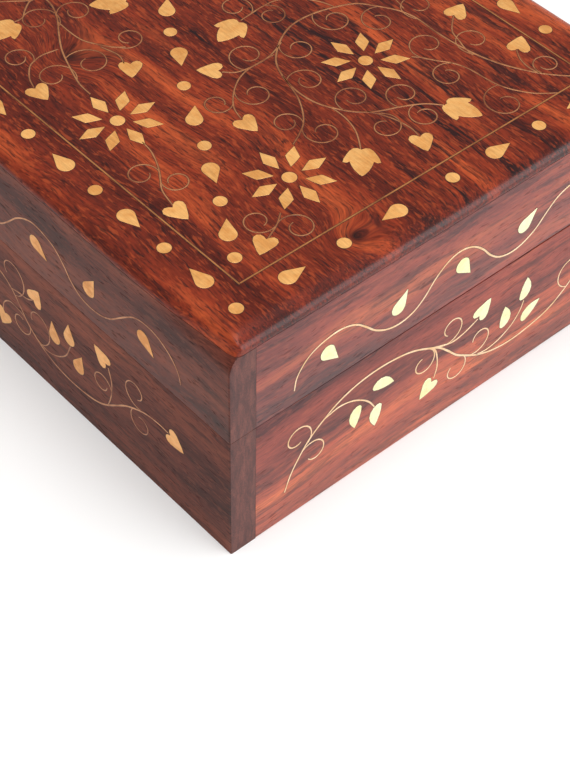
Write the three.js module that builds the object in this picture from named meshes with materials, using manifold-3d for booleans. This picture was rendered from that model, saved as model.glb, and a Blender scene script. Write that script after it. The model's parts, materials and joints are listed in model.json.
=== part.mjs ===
// Inlaid wooden box: a shallow hardwood casket with a hinged lid. The base and the lid are frames of
// four boards each. The base closes with a bottom panel nailed into a rebate, and the lid with a top
// panel whose edges are rounded. Brass strips and dots are let into the top panel. Two small brass
// butt hinges lie between the rims at the back, and a bevel along both back edges stops the open lid.
//
// Units are millimetres. X runs along the length, Y from the front (-) to the back (+), and Z up.
// The origin is at the middle of the underside.

import * as THREE from 'three';
import { mergeVertices } from 'three/addons/utils/BufferGeometryUtils.js';
import Module from 'manifold-3d';

// ---------------------------------------------------------------- driving dimensions

const LENGTH = 203.2;
const DEPTH = 152.4;
const HEIGHT = 76.2;
const BASE_HEIGHT = 43.0;
const WALL = 8.3;
const GLUE_LINE = 0.1;

// Lid
const TOP_THICKNESS = 4.5;
const EDGE_LAND = 0.3;
// The rounding reaches further in over the long sides than over the ends
const EDGE_RUN_LONG = 8.0;
const EDGE_RUN_END = 6.8;
const EDGE_STEPS = 10;
const SEAM_GAP_FRONT = 0.3;

// Bottom panel, in a rebate that is stopped short of the end faces
const BOTTOM_THICKNESS = 4.0;
const BOTTOM_RECESS = 0.5;
const REBATE_DEPTH = 4.0;
const REBATE_CLEARANCE = 0.15;

// Linings glued to the floor and inside the lid
const LINING_THICKNESS = 1.5;
const LINING_CLEARANCE = 0.3;

// Brass inlay in the top panel
const INLAY_DEPTH = 1.2;
const INLAY_CLEARANCE = 0.08;
const STRIP_WIDTH = 0.4;
const STRIP_INSET_FRONT = 15.7;
const STRIP_INSET_END = 15.0;
const DOT_RADIUS = 1.85;
const DOT_INSET_FRONT = 10.1;
const DOT_INSET_END = 9.4;
const DOT_SIDES = 24;
// Hand-set spacing of the dots, as shares of the way along a row from its right or front end
const LONG_ROW = [0, 0.145, 0.292, 0.443, 0.582, 0.721, 0.861, 1];
const SHORT_ROW = [0, 0.258, 0.535, 0.77, 1];

// Butt hinges
const HINGE_FROM_END = 42;
const HINGE_LENGTH = 25;
const LEAF_THICKNESS = 0.4;
const LEAF_CLEARANCE = 0.05;
const LEAF_EDGE_MARGIN = 0.5;
const KNUCKLE_RADIUS = 1.6;
const KNUCKLE_GAP = 0.2;
const KNUCKLE_NOTCH_CLEARANCE = 0.3;
const PIN_RADIUS = 0.6;
const PIN_CLEARANCE = 0.05;
const PIN_HEAD_LENGTH = 0.5;
const PIN_HEAD_RADIUS = 1.1;
const KNUCKLE_COVER = 0.5;
const ROUND_SIDES = 24;

// Stop bevel along both back edges: the lid opens through both bevel angles together
const BEVEL_ANGLE = THREE.MathUtils.degToRad(50);
const STOP_GAP = 0.3;

// Countersunk screws in the leaves, and nails in the bottom panel
const SCREW = { head: 1.35, sink: 0.9, shank: 0.7, point: 0.15, length: 6.5, taper: 1.5 };
const SCREW_PITCH = 15;
const NAIL = { head: 1.4, sink: 0.5, shank: 0.6, point: 0.1, length: 14, taper: 1.2 };
const NAIL_SPACING_LONG = 120;
const NAIL_SPACING_SHORT = 80;
const FASTENER_CLEARANCE = 0.08;
const FASTENER_SIDES = 16;

// ---------------------------------------------------------------- derived places

const END_X = LENGTH / 2;
const BACK_Y = DEPTH / 2;
const EDGE_RISE = TOP_THICKNESS - EDGE_LAND;
const INNER_X = END_X - WALL;
const INNER_Y = BACK_Y - WALL;
const RAIL_TOP = HEIGHT - TOP_THICKNESS - GLUE_LINE;
const BOTTOM_TOP = BOTTOM_RECESS + BOTTOM_THICKNESS;
const REBATE_X = INNER_X + REBATE_DEPTH;
const REBATE_Y = INNER_Y + REBATE_DEPTH;

// The lid rests on the front edge of the base and on the stacked hinge leaves at the back.
const PIN_SETBACK = KNUCKLE_RADIUS + KNUCKLE_COVER;
const AXIS_Y = BACK_Y - PIN_SETBACK;
const AXIS_Z = BASE_HEIGHT + LEAF_THICKNESS + 1.5 * LEAF_CLEARANCE;
const LEAF_INNER_Y = INNER_Y + LEAF_EDGE_MARGIN;
const LEAF_STACK = 2 * LEAF_THICKNESS + 3 * LEAF_CLEARANCE;
const SEAM_SLOPE = (LEAF_STACK - SEAM_GAP_FRONT) / (LEAF_INNER_Y + BACK_Y);
const SCREW_Y = (LEAF_INNER_Y + AXIS_Y - KNUCKLE_RADIUS) / 2;
const HINGE_X = END_X - HINGE_FROM_END;
const BEVEL_SLOPE = Math.tan(BEVEL_ANGLE);
const BEVEL_DROP = STOP_GAP / 2 / Math.cos(BEVEL_ANGLE);

function lidUnderside(y) {
  return BASE_HEIGHT + SEAM_GAP_FRONT + SEAM_SLOPE * (y + BACK_Y);
}

// ---------------------------------------------------------------- shapes

const wasm = await Module();
wasm.setup();

function toSolid(geometry) {
  const bare = geometry.clone();
  bare.deleteAttribute('normal');
  bare.deleteAttribute('uv');
  const merged = mergeVertices(bare);
  const index = merged.index.array;
  const triVerts = [];
  for (let i = 0; i < index.length; i += 3) {
    const corners = [index[i], index[i + 1], index[i + 2]];
    const isFlat = new Set(corners).size < corners.length;
    if (!isFlat) triVerts.push(...corners);
  }
  const mesh = new wasm.Mesh({
    numProp: 3,
    vertProperties: new Float32Array(merged.attributes.position.array),
    triVerts: new Uint32Array(triVerts),
  });
  return new wasm.Manifold(mesh);
}

function toGeometry(solid) {
  const mesh = solid.getMesh();
  const geometry = new THREE.BufferGeometry();
  geometry.setAttribute('position', new THREE.BufferAttribute(mesh.vertProperties, 3));
  geometry.setIndex(new THREE.BufferAttribute(mesh.triVerts, 1));
  geometry.computeVertexNormals();
  return geometry;
}

// A block between a low and a high value on each axis
function block(xs, ys, zs) {
  const geometry = new THREE.BoxGeometry(xs[1] - xs[0], ys[1] - ys[0], zs[1] - zs[0]);
  geometry.translate((xs[0] + xs[1]) / 2, (ys[0] + ys[1]) / 2, (zs[0] + zs[1]) / 2);
  return toSolid(geometry);
}

function extrusion(points, depth) {
  const shape = new THREE.Shape(points.map(([a, b]) => new THREE.Vector2(a, b)));
  return new THREE.ExtrudeGeometry(shape, { depth, bevelEnabled: false });
}

// A section drawn in Y and Z, carried along X
function prismAlongX(section, xs) {
  const geometry = extrusion(section, xs[1] - xs[0]);
  const toRowAxes = new THREE.Matrix4().makeBasis(
    new THREE.Vector3(0, 1, 0), new THREE.Vector3(0, 0, 1), new THREE.Vector3(1, 0, 0));
  geometry.applyMatrix4(toRowAxes);
  geometry.translate(xs[0], 0, 0);
  return toSolid(geometry);
}

// A section drawn in X and Z, carried along Y
function prismAlongY(section, ys) {
  const geometry = extrusion(section, ys[1] - ys[0]);
  const toRowAxes = new THREE.Matrix4().makeBasis(
    new THREE.Vector3(1, 0, 0), new THREE.Vector3(0, 0, 1), new THREE.Vector3(0, -1, 0));
  geometry.applyMatrix4(toRowAxes);
  geometry.translate(0, ys[1], 0);
  return toSolid(geometry);
}

function rodAlongX(radius, xs, y, z) {
  const geometry = new THREE.CylinderGeometry(radius, radius, xs[1] - xs[0], ROUND_SIDES);
  geometry.rotateZ(-Math.PI / 2);
  geometry.translate((xs[0] + xs[1]) / 2, y, z);
  return toSolid(geometry);
}

function discAlongZ(radius, sides, x, y, zs) {
  const geometry = new THREE.CylinderGeometry(radius, radius, zs[1] - zs[0], sides);
  geometry.rotateX(Math.PI / 2);
  geometry.translate(x, y, (zs[0] + zs[1]) / 2);
  return toSolid(geometry);
}

// A countersunk fastener driven from its head at z towards sign(direction), grown by a clearance
function fastener(kind, x, y, z, direction, grow = 0) {
  const profile = [
    [0, -grow],
    [kind.head + grow, -grow],
    [kind.head + grow, 0],
    [kind.shank + grow, kind.sink + grow],
    [kind.shank + grow, kind.length - kind.taper + grow],
    [kind.point + grow, kind.length + grow],
    [0, kind.length + grow],
  ];
  const points = profile.map(([radius, along]) => new THREE.Vector2(radius, along));
  const geometry = new THREE.LatheGeometry(points, FASTENER_SIDES);
  geometry.rotateX(direction * Math.PI / 2);
  geometry.translate(x, y, z);
  return toSolid(geometry);
}

// ---------------------------------------------------------------- places of the repeated pieces

const sides = [
  { name: 'left', sign: -1 },
  { name: 'right', sign: 1 },
];

function hingeScrewPlaces() {
  const places = [];
  for (const side of sides) {
    for (const [number, step] of [[1, -1], [2, 1]]) {
      places.push({ name: `${side.name}_${number}`, x: side.sign * HINGE_X + step * SCREW_PITCH / 2 });
    }
  }
  return places;
}

function nailPlaces() {
  const nailX = INNER_X + REBATE_DEPTH / 2;
  const nailY = INNER_Y + REBATE_DEPTH / 2;
  const places = [];
  for (const a of [-1, 1]) {
    for (const b of [-1, 1]) {
      places.push([a * NAIL_SPACING_LONG / 2, b * nailY]);
      places.push([a * nailX, b * NAIL_SPACING_SHORT / 2]);
    }
  }
  return places;
}

function dotPlaces() {
  const reachX = END_X - DOT_INSET_END;
  const reachY = BACK_Y - DOT_INSET_FRONT;
  const places = [];
  LONG_ROW.forEach((share, i) => {
    const x = reachX * (1 - 2 * share);
    places.push({ name: `border_dot_front_${i + 1}`, x, y: -reachY });
    places.push({ name: `border_dot_back_${i + 1}`, x, y: reachY });
  });
  SHORT_ROW.slice(1, -1).forEach((share, i) => {
    const y = reachY * (2 * share - 1);
    places.push({ name: `border_dot_right_${i + 1}`, x: reachX, y });
    places.push({ name: `border_dot_left_${i + 1}`, x: -reachX, y });
  });
  return places;
}

// Brass strips of the border rectangle: the long ones run through, the short ones fit between them
function stripBlock(name, grow) {
  const outerX = END_X - STRIP_INSET_END;
  const outerY = BACK_Y - STRIP_INSET_FRONT;
  const shortEnd = outerY - STRIP_WIDTH - INLAY_CLEARANCE;
  const zs = [HEIGHT - INLAY_DEPTH - grow, HEIGHT + grow];
  const sign = name === 'front' || name === 'left' ? -1 : 1;
  const across = (outer) => [sign * outer, sign * (outer - STRIP_WIDTH)]
    .sort((a, b) => a - b)
    .map((value, i) => value + (i === 0 ? -grow : grow));
  if (name === 'front' || name === 'back') {
    return block([-outerX - grow, outerX + grow], across(outerY), zs);
  }
  return block(across(outerX), [-shortEnd - grow, shortEnd + grow], zs);
}

// ---------------------------------------------------------------- pieces

function rebateCutter() {
  return block([-REBATE_X, REBATE_X], [-REBATE_Y, REBATE_Y], [-GLUE_LINE, BOTTOM_TOP + REBATE_CLEARANCE]);
}

function cutNailHoles(solid) {
  let result = solid;
  for (const [x, y] of nailPlaces()) {
    result = result.subtract(fastener(NAIL, x, y, BOTTOM_RECESS, 1, FASTENER_CLEARANCE));
  }
  return result;
}

// Recesses around the knuckles of both hinges
function cutKnuckleNotches(solid) {
  const reach = HINGE_LENGTH / 2 + PIN_HEAD_LENGTH + KNUCKLE_NOTCH_CLEARANCE;
  const radius = KNUCKLE_RADIUS + KNUCKLE_NOTCH_CLEARANCE;
  let result = solid;
  for (const side of sides) {
    const x = side.sign * HINGE_X;
    result = result.subtract(rodAlongX(radius, [x - reach, x + reach], AXIS_Y, AXIS_Z));
  }
  return result;
}

function leafFace(isLid) {
  const lift = isLid ? LEAF_THICKNESS + 2 * LEAF_CLEARANCE : LEAF_CLEARANCE + LEAF_THICKNESS;
  return BASE_HEIGHT + lift;
}

// The screws' heads lie flush in the faces of the leaves that meet when the lid is closed.
function hingeScrew(x, isLid, grow = 0) {
  return fastener(SCREW, x, SCREW_Y, leafFace(isLid), isLid ? 1 : -1, grow);
}

function cutScrewHoles(solid, isLid) {
  let result = solid;
  for (const place of hingeScrewPlaces()) {
    result = result.subtract(hingeScrew(place.x, isLid, FASTENER_CLEARANCE));
  }
  return result;
}

function baseFrontBoard() {
  const board = block([-END_X, END_X], [-BACK_Y, -INNER_Y], [0, BASE_HEIGHT]);
  return cutNailHoles(board.subtract(rebateCutter()));
}

function baseBackBoard() {
  const bevelFoot = AXIS_Z - PIN_SETBACK * BEVEL_SLOPE - BEVEL_DROP;
  const bevelTop = AXIS_Y + (AXIS_Z - BEVEL_DROP - BASE_HEIGHT) / BEVEL_SLOPE;
  const section = [
    [INNER_Y, 0],
    [BACK_Y, 0],
    [BACK_Y, bevelFoot],
    [bevelTop, BASE_HEIGHT],
    [INNER_Y, BASE_HEIGHT],
  ];
  const board = prismAlongX(section, [-END_X, END_X]).subtract(rebateCutter());
  return cutScrewHoles(cutKnuckleNotches(cutNailHoles(board)), false);
}

function baseEndBoard(sign) {
  const xs = [sign * INNER_X, sign * END_X].sort((a, b) => a - b);
  const reach = INNER_Y - GLUE_LINE;
  return cutNailHoles(block(xs, [-reach, reach], [0, BASE_HEIGHT]).subtract(rebateCutter()));
}

function bottomPanel() {
  const reachX = REBATE_X - REBATE_CLEARANCE;
  const reachY = REBATE_Y - REBATE_CLEARANCE;
  return cutNailHoles(block([-reachX, reachX], [-reachY, reachY], [BOTTOM_RECESS, BOTTOM_TOP]));
}

function lining(bottom) {
  const reachX = INNER_X - LINING_CLEARANCE;
  const reachY = INNER_Y - LINING_CLEARANCE;
  return block([-reachX, reachX], [-reachY, reachY], [bottom, bottom + LINING_THICKNESS]);
}

// A lid rail between two Y values: its underside follows the slight slope of the seam
function railSection(low, high) {
  return [
    [low, lidUnderside(low)],
    [high, lidUnderside(high)],
    [high, RAIL_TOP],
    [low, RAIL_TOP],
  ];
}

function lidFrontRail() {
  return prismAlongX(railSection(-BACK_Y, -INNER_Y), [-END_X, END_X]);
}

function lidBackRail() {
  const bevelHead = AXIS_Z + PIN_SETBACK * BEVEL_SLOPE + BEVEL_DROP;
  const rise = lidUnderside(AXIS_Y) - AXIS_Z - BEVEL_DROP;
  const bevelBottom = AXIS_Y + rise / (BEVEL_SLOPE - SEAM_SLOPE);
  const section = [
    [INNER_Y, lidUnderside(INNER_Y)],
    [bevelBottom, lidUnderside(bevelBottom)],
    [BACK_Y, bevelHead],
    [BACK_Y, RAIL_TOP],
    [INNER_Y, RAIL_TOP],
  ];
  const rail = prismAlongX(section, [-END_X, END_X]);
  return cutScrewHoles(cutKnuckleNotches(rail), true);
}

function lidEndRail(sign) {
  const xs = [sign * INNER_X, sign * END_X].sort((a, b) => a - b);
  const reach = INNER_Y - GLUE_LINE;
  return prismAlongX(railSection(-reach, reach), xs);
}

// Half-width section of the top panel, with both edges rounded over as quarter ellipses
function roundedSection(halfWidth, run) {
  const bottom = HEIGHT - TOP_THICKNESS;
  const section = [[-halfWidth, bottom], [halfWidth, bottom]];
  const arc = [];
  for (let i = 0; i <= EDGE_STEPS; i += 1) {
    const angle = (i / EDGE_STEPS) * Math.PI / 2;
    const across = halfWidth - run * (1 - Math.cos(angle));
    arc.push([across, HEIGHT - EDGE_RISE * (1 - Math.sin(angle))]);
  }
  const mirrored = arc.map(([across, up]) => [-across, up]).reverse();
  return [...section, ...arc, ...mirrored];
}

function topPanel() {
  const along = prismAlongX(roundedSection(BACK_Y, EDGE_RUN_LONG), [-END_X, END_X]);
  const across = prismAlongY(roundedSection(END_X, EDGE_RUN_END), [-BACK_Y, BACK_Y]);
  let panel = along.intersect(across);
  for (const place of dotPlaces()) {
    const zs = [HEIGHT - INLAY_DEPTH - INLAY_CLEARANCE, HEIGHT + INLAY_CLEARANCE];
    panel = panel.subtract(discAlongZ(DOT_RADIUS + INLAY_CLEARANCE, DOT_SIDES, place.x, place.y, zs));
  }
  for (const name of ['front', 'back', 'left', 'right']) {
    panel = panel.subtract(stripBlock(name, INLAY_CLEARANCE));
  }
  return panel;
}

// The base leaf carries the two end knuckles and the lid leaf the one between them.
function knuckleSpans(isLid) {
  const third = HINGE_LENGTH / 3;
  const end = HINGE_LENGTH / 2;
  const inner = third / 2;
  return isLid
    ? [[-inner + KNUCKLE_GAP / 2, inner - KNUCKLE_GAP / 2]]
    : [[-end, -inner - KNUCKLE_GAP / 2], [inner + KNUCKLE_GAP / 2, end]];
}

function hingeLeaf(x, isLid) {
  const face = leafFace(isLid);
  const zs = isLid ? [face, face + LEAF_THICKNESS] : [face - LEAF_THICKNESS, face];
  let leaf = block([x - HINGE_LENGTH / 2, x + HINGE_LENGTH / 2], [LEAF_INNER_Y, AXIS_Y], zs);
  for (const [low, high] of knuckleSpans(!isLid)) {
    const span = [x + low - KNUCKLE_GAP, x + high + KNUCKLE_GAP];
    const radius = KNUCKLE_RADIUS + KNUCKLE_NOTCH_CLEARANCE;
    leaf = leaf.subtract(rodAlongX(radius, span, AXIS_Y, AXIS_Z));
  }
  for (const [low, high] of knuckleSpans(isLid)) {
    leaf = leaf.add(rodAlongX(KNUCKLE_RADIUS, [x + low, x + high], AXIS_Y, AXIS_Z));
  }
  const bore = rodAlongX(PIN_RADIUS + PIN_CLEARANCE, [x - HINGE_LENGTH, x + HINGE_LENGTH], AXIS_Y, AXIS_Z);
  return cutScrewHoles(leaf.subtract(bore), isLid);
}

// A riveted pin: its two heads lie just outside the end knuckles.
function hingePin(x) {
  const end = HINGE_LENGTH / 2 + PIN_CLEARANCE;
  const tip = HINGE_LENGTH / 2 + PIN_HEAD_LENGTH;
  const shank = rodAlongX(PIN_RADIUS, [x - tip, x + tip], AXIS_Y, AXIS_Z);
  const heads = [[x - tip, x - end], [x + end, x + tip]];
  return heads.reduce((pin, span) => pin.add(rodAlongX(PIN_HEAD_RADIUS, span, AXIS_Y, AXIS_Z)), shank);
}

// ---------------------------------------------------------------- assembly

const finishes = {
  topWood: { color: 0x9a4a2e, roughness: 0.35, metalness: 0 },
  endWood: { color: 0x8a4a3c, roughness: 0.4, metalness: 0 },
  sideWood: { color: 0x5c3a30, roughness: 0.4, metalness: 0 },
  plyWood: { color: 0xb08a5e, roughness: 0.8, metalness: 0 },
  lining: { color: 0x7a1420, roughness: 1, metalness: 0 },
  brass: { color: 0xd8a850, roughness: 0.3, metalness: 1 },
  steel: { color: 0x9a9a98, roughness: 0.4, metalness: 1 },
};

function place(group, name, solid, finish) {
  const mesh = new THREE.Mesh(toGeometry(solid), new THREE.MeshStandardMaterial(finishes[finish]));
  mesh.name = name;
  group.add(mesh);
}

function buildBase() {
  const base = new THREE.Group();
  place(base, 'base_front_board', baseFrontBoard(), 'sideWood');
  place(base, 'base_back_board', baseBackBoard(), 'sideWood');
  place(base, 'base_bottom_panel', bottomPanel(), 'plyWood');
  place(base, 'floor_lining', lining(BOTTOM_TOP + GLUE_LINE), 'lining');
  nailPlaces().forEach(([x, y], i) => {
    place(base, `bottom_nail_${i + 1}`, fastener(NAIL, x, y, BOTTOM_RECESS, 1), 'steel');
  });
  for (const side of sides) {
    const x = side.sign * HINGE_X;
    place(base, `base_${side.name}_board`, baseEndBoard(side.sign), 'endWood');
    place(base, `hinge_${side.name}_base_leaf`, hingeLeaf(x, false), 'brass');
    place(base, `hinge_${side.name}_pin`, hingePin(x), 'brass');
  }
  for (const screw of hingeScrewPlaces()) {
    place(base, `base_leaf_screw_${screw.name}`, hingeScrew(screw.x, false), 'brass');
  }
  return base;
}

function buildLid() {
  const lid = new THREE.Group();
  place(lid, 'lid_front_rail', lidFrontRail(), 'sideWood');
  place(lid, 'lid_back_rail', lidBackRail(), 'sideWood');
  place(lid, 'lid_top_panel', topPanel(), 'topWood');
  place(lid, 'lid_lining', lining(RAIL_TOP - LINING_THICKNESS), 'lining');
  for (const side of sides) {
    place(lid, `lid_${side.name}_rail`, lidEndRail(side.sign), 'endWood');
    place(lid, `hinge_${side.name}_lid_leaf`, hingeLeaf(side.sign * HINGE_X, true), 'brass');
  }
  for (const screw of hingeScrewPlaces()) {
    place(lid, `lid_leaf_screw_${screw.name}`, hingeScrew(screw.x, true), 'brass');
  }
  for (const name of ['front', 'back', 'left', 'right']) {
    place(lid, `border_strip_${name}`, stripBlock(name, 0), 'brass');
  }
  for (const dot of dotPlaces()) {
    const zs = [HEIGHT - INLAY_DEPTH, HEIGHT];
    place(lid, dot.name, discAlongZ(DOT_RADIUS, DOT_SIDES, dot.x, dot.y, zs), 'brass');
  }
  return lid;
}

const box = new THREE.Group();
box.add(buildBase(), buildLid());

export default box;
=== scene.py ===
import json
import math
import random

import bmesh
import bpy
from mathutils import Matrix, Vector


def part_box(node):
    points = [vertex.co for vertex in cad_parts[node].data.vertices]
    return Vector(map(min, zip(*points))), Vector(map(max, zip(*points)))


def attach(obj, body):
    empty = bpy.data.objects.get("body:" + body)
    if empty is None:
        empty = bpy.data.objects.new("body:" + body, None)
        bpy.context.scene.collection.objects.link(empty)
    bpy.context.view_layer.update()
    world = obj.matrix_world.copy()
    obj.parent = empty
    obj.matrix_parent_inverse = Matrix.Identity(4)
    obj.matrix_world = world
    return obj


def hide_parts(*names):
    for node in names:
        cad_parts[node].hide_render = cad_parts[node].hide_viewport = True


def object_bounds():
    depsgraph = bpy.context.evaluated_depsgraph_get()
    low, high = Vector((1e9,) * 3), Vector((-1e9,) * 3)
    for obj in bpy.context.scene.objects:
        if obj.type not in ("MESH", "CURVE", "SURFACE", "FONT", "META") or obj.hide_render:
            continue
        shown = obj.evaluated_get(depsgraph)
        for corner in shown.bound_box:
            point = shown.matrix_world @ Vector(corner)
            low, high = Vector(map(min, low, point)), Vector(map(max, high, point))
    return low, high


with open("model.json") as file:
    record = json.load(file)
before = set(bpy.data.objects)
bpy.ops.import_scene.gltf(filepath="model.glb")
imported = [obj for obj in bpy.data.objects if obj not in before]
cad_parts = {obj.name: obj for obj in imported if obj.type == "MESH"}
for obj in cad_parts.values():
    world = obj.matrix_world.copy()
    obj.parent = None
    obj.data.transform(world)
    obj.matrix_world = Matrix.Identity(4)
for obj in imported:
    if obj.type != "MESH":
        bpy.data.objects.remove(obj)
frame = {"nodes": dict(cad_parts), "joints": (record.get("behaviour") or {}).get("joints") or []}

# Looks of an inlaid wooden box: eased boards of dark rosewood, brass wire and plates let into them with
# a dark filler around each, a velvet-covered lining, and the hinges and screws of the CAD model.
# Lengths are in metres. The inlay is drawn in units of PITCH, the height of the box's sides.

cad_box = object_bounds()

# ---------------------------------------------------------------- sizes taken from the frame

MM = 0.001
LOW, HIGH = cad_box
TOP_LOW, TOP_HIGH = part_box("lid_top_panel")
BASE_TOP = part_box("base_front_board")[1].z
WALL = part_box("base_right_board")[1].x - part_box("base_right_board")[0].x
PITCH = TOP_LOW.z
ACROSS = (HIGH.y - LOW.y) / PITCH
ALONG = (HIGH.x - LOW.x) / PITCH
HINGE = Vector(frame["joints"][0]["pos_m"])

# Brass is flush with the CAD box, and filler and wood lie this far under it
WOOD_SINK = 0.07 * MM
FILLER_SINK = 0.035 * MM
# Widths of the eased edges, and how far boards reach towards each other at seams and joints
EASE = 0.45 * MM
SEAM_EASE = 0.07 * MM
SEAM_LAP = 0.1 * MM
SEAM_ZONE = 1.6 * MM
RIM_EASE = 0.3 * MM
JOINT_CLOSE = 0.05 * MM
KNUCKLE_NOTCH = 1.9 * MM


# ---------------------------------------------------------------- faces of the box

class Face:
    """A flat face with its own pattern axes: a and b in pitches from the origin, out along the normal."""

    def __init__(self, origin, a_axis, b_axis, out):
        self.origin = Vector(origin)
        self.a_axis = Vector(a_axis)
        self.b_axis = Vector(b_axis)
        self.out = Vector(out)

    def point(self, a, b, height):
        return self.origin + (self.a_axis * a + self.b_axis * b) * PITCH + self.out * height


UP = (0, 0, 1)
FACES = {
    "top": Face((HIGH.x, LOW.y, HIGH.z), (0, 1, 0), (-1, 0, 0), UP),
    "right": Face((HIGH.x, LOW.y, 0), (0, 1, 0), UP, (1, 0, 0)),
    "left": Face((LOW.x, HIGH.y, 0), (0, -1, 0), UP, (-1, 0, 0)),
    "front": Face((HIGH.x, LOW.y, 0), (-1, 0, 0), UP, (0, -1, 0)),
    "back": Face((LOW.x, HIGH.y, 0), (1, 0, 0), UP, (0, 1, 0)),
}


# ---------------------------------------------------------------- mesh helpers

def link(name, data):
    obj = bpy.data.objects.new(name, data)
    bpy.context.scene.collection.objects.link(obj)
    return obj


class Build:
    """Collects rings of points into one mesh of closed bodies."""

    def __init__(self):
        self.points = []
        self.faces = []

    def loft(self, rings):
        """Closed body through rings of equal length, with a cap at each end."""
        start = len(self.points)
        count = len(rings[0])
        for ring in rings:
            self.points.extend(ring)
        for i in range(len(rings) - 1):
            low = start + i * count
            for j in range(count):
                k = (j + 1) % count
                self.faces.append((low + j, low + k, low + count + k, low + count + j))
        self.faces.append(tuple(start + j for j in reversed(range(count))))
        last = start + (len(rings) - 1) * count
        self.faces.append(tuple(last + j for j in range(count)))

    def finish(self, name, smooth=False):
        mesh = bpy.data.meshes.new(name)
        mesh.from_pydata([tuple(p) for p in self.points], [], self.faces)
        shape = bmesh.new()
        shape.from_mesh(mesh)
        bmesh.ops.recalc_face_normals(shape, faces=shape.faces)
        shape.to_mesh(mesh)
        shape.free()
        obj = link(name, mesh)
        if smooth:
            smooth_by_angle(obj)
        return obj


def smooth_by_angle(obj, limit=math.radians(32)):
    mesh = obj.data
    for polygon in mesh.polygons:
        polygon.use_smooth = True
    shape = bmesh.new()
    shape.from_mesh(mesh)
    for edge in shape.edges:
        edge.smooth = len(edge.link_faces) == 2 and edge.calc_face_angle(0) < limit
    shape.to_mesh(mesh)
    shape.free()


def offset_outline(outline, distance):
    """Moves each point of a counter-clockwise outline inwards by distance."""
    moved = []
    count = len(outline)
    for i, here in enumerate(outline):
        before = outline[i - 1]
        after = outline[(i + 1) % count]
        along = Vector(after) - Vector(before)
        normal = Vector((-along.y, along.x)).normalized()
        moved.append((here[0] + normal.x * distance, here[1] + normal.y * distance))
    return moved


def smooth_path(points, step):
    """Catmull-Rom curve through the points, sampled about every step (in pitches)."""
    if len(points) < 3:
        return [Vector(p) for p in points]
    nodes = [Vector(p) for p in points]
    nodes = [nodes[0] * 2 - nodes[1]] + nodes + [nodes[-1] * 2 - nodes[-2]]
    path = []
    for i in range(1, len(nodes) - 2):
        p0, p1, p2, p3 = nodes[i - 1:i + 3]
        steps = max(2, round((p2 - p1).length / step))
        for k in range(steps):
            t = k / steps
            path.append(0.5 * (2 * p1 + (p2 - p0) * t + (2 * p0 - 5 * p1 + 4 * p2 - p3) * t * t
                               + (3 * p1 - p0 - 3 * p2 + p3) * t ** 3))
    path.append(nodes[-2])
    return path


# ---------------------------------------------------------------- inlay shapes, in pitches

def turned(points, centre, degrees):
    angle = math.radians(degrees)
    cos, sin = math.cos(angle), math.sin(angle)
    return [(centre[0] + x * cos - y * sin, centre[1] + x * sin + y * cos) for x, y in points]


def mirrored_outline(half):
    """Closes a half outline, drawn from the tip at +x round to the base, with its mirror image."""
    return half + [(x, -y) for x, y in reversed(half) if abs(y) > 1e-6]


def drop_outline(length=0.112, width=0.066, sides=14):
    """A round-ended drop whose tip points along +x."""
    radius = width / 2
    centre = radius - length / 2
    tangent = math.acos(radius / (length - radius))
    outline = [(length / 2, 0)]
    for i in range(sides + 1):
        angle = tangent + (2 * math.pi - 2 * tangent) * i / sides
        outline.append((centre + radius * math.cos(angle), radius * math.sin(angle)))
    return outline


def disc_outline(radius, sides=24):
    steps = [2 * math.pi * i / sides for i in range(sides)]
    return [(radius * math.cos(a), radius * math.sin(a)) for a in steps]


def rectangle(low, high, grow):
    """The outline in (x, y) of a box between two corners, grown on every side."""
    left, right = low.x - grow, high.x + grow
    front, back = low.y - grow, high.y + grow
    return [(left, front), (right, front), (right, back), (left, back)]


PETAL = mirrored_outline([
    (0.057, 0), (0.040, 0.0085), (0.020, 0.0185), (0.002, 0.0265),
    (-0.018, 0.0185), (-0.038, 0.0085), (-0.055, 0),
])
HEART = mirrored_outline([
    (0.052, 0), (0.036, 0.015), (0.012, 0.030), (-0.008, 0.042), (-0.026, 0.0455),
    (-0.040, 0.038), (-0.045, 0.024), (-0.039, 0.010), (-0.029, 0),
])
TULIP = mirrored_outline([
    (0.080, 0), (0.072, 0.010), (0.050, 0.026), (0.026, 0.037), (0.004, 0.043), (0.010, 0.053),
    (0.008, 0.068), (-0.012, 0.064), (-0.034, 0.054), (-0.054, 0.043), (-0.067, 0.030), (-0.069, 0.015),
    (-0.061, 0.0),
])
# A leaf cut nearly straight along the side where b is negative
LEAF = [
    (0.060, 0.0), (0.044, 0.015), (0.024, 0.029), (0.0, 0.037), (-0.024, 0.035), (-0.042, 0.024),
    (-0.052, 0.008), (-0.052, -0.008), (-0.042, -0.018), (-0.016, -0.020), (0.014, -0.017), (0.040, -0.010),
]
DROP = drop_outline()
# How far the inner end of a tendril is from the middle of its curl
CURL_END = 0.032


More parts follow.
